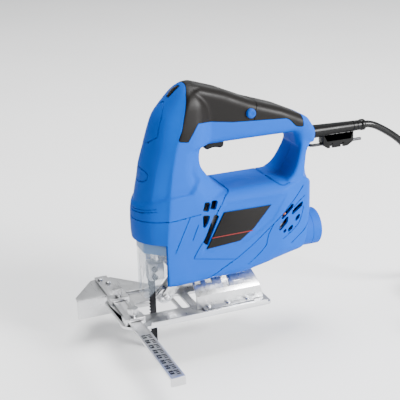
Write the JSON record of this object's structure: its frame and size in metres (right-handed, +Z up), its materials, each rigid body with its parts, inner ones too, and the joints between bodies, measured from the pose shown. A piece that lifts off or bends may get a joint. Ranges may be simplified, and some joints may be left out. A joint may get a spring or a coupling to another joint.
{
  "type": "corded jigsaw",
  "caption": "Corded D-handle jigsaw: moulded two-part housing with motor, gear and plunger, reciprocating blade, clear guard, tilting steel sole, edge guide and dust port.",
  "frame": {"origin": "centre of the sole plate's underside", "axes": "+X in the cutting direction, +Y to the tool's left, +Z up"},
  "size_m": [0.434, 0.209, 0.2428],
  "materials": {
    "housing_blue": "semi-gloss moulded nylon",
    "grip_rubber": "matte soft overmould",
    "black_plastic": "moulded",
    "label_dark": "satin plate",
    "plated_steel": "bright zinc plate",
    "blade_steel": "dark oxide, ground teeth",
    "ground_steel": "ground",
    "clear_guard": "clear polycarbonate",
    "copper": "enamelled winding",
    "laminated_iron": "stacked laminations",
    "bush_bronze": "sintered",
    "carbon": "pressed carbon",
    "cast_alloy": "die cast",
    "fan_nylon": "moulded nylon",
    "cord_black": "smooth flexible sheath"
  },
  "bodies": {
    "housing": {"housing_left": "housing_blue", "housing_right": "housing_blue", "grip_left": "grip_rubber", "grip_right": "grip_rubber", "label_left": "label_dark", "label_right": "label_dark", "dust_port": "housing_blue", "switch_body": "black_plastic", "stator": "laminated_iron", "field_coil_front": "copper", "field_coil_rear": "copper", "bearing_rear": "ground_steel", "bearing_front": "ground_steel", "brush_left": "carbon", "brush_right": "carbon", "brush_holder_left": "bush_bronze", "brush_holder_right": "bush_bronze", "gear_plate": "cast_alloy", "gear_axle": "ground_steel", "bush_lower": "bush_bronze", "bush_upper": "bush_bronze", "roller_arm": "plated_steel", "roller_pin": "ground_steel", "housing_screw_1": "ground_steel", "housing_screw_2": "ground_steel", "housing_screw_3": "ground_steel", "strain_relief": "black_plastic", "key_clip": "black_plastic", "cord_run": "cord_black", "cord_tail": "cord_black", "cord_coil": "cord_black", "cord_tie": "black_plastic", "plug_body": "cord_black", "plug_pin_left": "ground_steel", "plug_pin_right": "ground_steel"},
    "dial": {"speed_dial": "black_plastic"},
    "button": {"lock_button": "housing_blue"},
    "trigger": {"trigger": "black_plastic"},
    "armature": {"armature_shaft": "ground_steel", "armature_core": "laminated_iron", "commutator": "copper", "fan": "fan_nylon"},
    "gear": {"drive_gear": "ground_steel"},
    "plunger": {"plunger": "ground_steel", "blade_clamp": "plated_steel", "blade_screw_lower": "blade_steel", "blade_screw_upper": "blade_steel", "blade": "blade_steel"},
    "roller": {"roller": "ground_steel"},
    "guard": {"guard": "clear_guard"},
    "sole": {"sole_plate": "plated_steel", "bevel_bracket": "plated_steel"},
    "bevel_screw": {"bevel_screw": "plated_steel"},
    "guide": {"guide_bar": "plated_steel", "fence": "plated_steel", "fence_rivet_1": "plated_steel", "fence_rivet_2": "plated_steel"},
    "guide_screw_left": {"guide_screw_left": "plated_steel"},
    "guide_screw_right": {"guide_screw_right": "plated_steel"},
    "hex_key": {"hex_key": "ground_steel"}
  },
  "joints": [
    {"name": "bevel_tilt", "type": "hinge", "parent": "housing", "child": "sole", "pos_m": [0, 0, 0.002], "axis": [1, 0, 0], "range_deg": [-45, 45]},
    {"name": "guide_slide", "type": "slide", "parent": "sole", "child": "guide", "axis": [0, 1, 0], "range_m": [-0.088, 0.001]},
    {"name": "guide_screw_left_turn", "type": "hinge", "parent": "sole", "child": "guide_screw_left", "pos_m": [0.0595, 0.022, 0.012], "axis": [0, 0, 1], "range_deg": [-180, 180]},
    {"name": "guide_screw_right_turn", "type": "hinge", "parent": "sole", "child": "guide_screw_right", "pos_m": [0.0595, -0.022, 0.012], "axis": [0, 0, 1], "range_deg": [-180, 180]},
    {"name": "bevel_screw_turn", "type": "hinge", "parent": "housing", "child": "bevel_screw", "pos_m": [-0.029, 0, 0.024], "axis": [0, 0, 1], "range_deg": [-180, 180]},
    {"name": "roller_spin", "type": "hinge", "parent": "housing", "child": "roller", "pos_m": [0.023, 0, 0.012], "axis": [0, 1, 0], "continuous": true},
    {"name": "guard_slide", "type": "slide", "parent": "housing", "child": "guard", "axis": [0, 0, 1], "range_m": [0, 0.01]},
    {"name": "plunger_stroke", "type": "slide", "parent": "housing", "child": "plunger", "axis": [0, 0, 1], "range_m": [-0.009, 0.009]},
    {"name": "trigger_press", "type": "slide", "parent": "housing", "child": "trigger", "axis": [0, 0, 1], "range_m": [0, 0.004], "stiffness_N_per_m": 600, "springref_m": -0.003},
    {"name": "lock_press", "type": "slide", "parent": "housing", "child": "button", "axis": [0, -1, 0], "range_m": [0, 0.0025], "stiffness_N_per_m": 300, "springref_m": -0.002},
    {"name": "speed_turn", "type": "hinge", "parent": "housing", "child": "dial", "pos_m": [0.0015, 0, 0.1895], "axis": [0, 1, 0], "range_deg": [-150, 150]},
    {"name": "armature_spin", "type": "hinge", "parent": "housing", "child": "armature", "pos_m": [0, 0, 0.066], "axis": [1, 0, 0], "continuous": true},
    {"name": "gear_spin", "type": "hinge", "parent": "housing", "child": "gear", "pos_m": [0, 0, 0.094], "axis": [1, 0, 0], "continuous": true},
    {"name": "key_pull", "type": "slide", "parent": "housing", "child": "hex_key", "axis": [0, 0, -1], "range_m": [0, 0.02]}
  ],
  "couplings": [
    {"joint": "gear_spin", "follows": "armature_spin", "ratio": -0.16667}
  ]
}
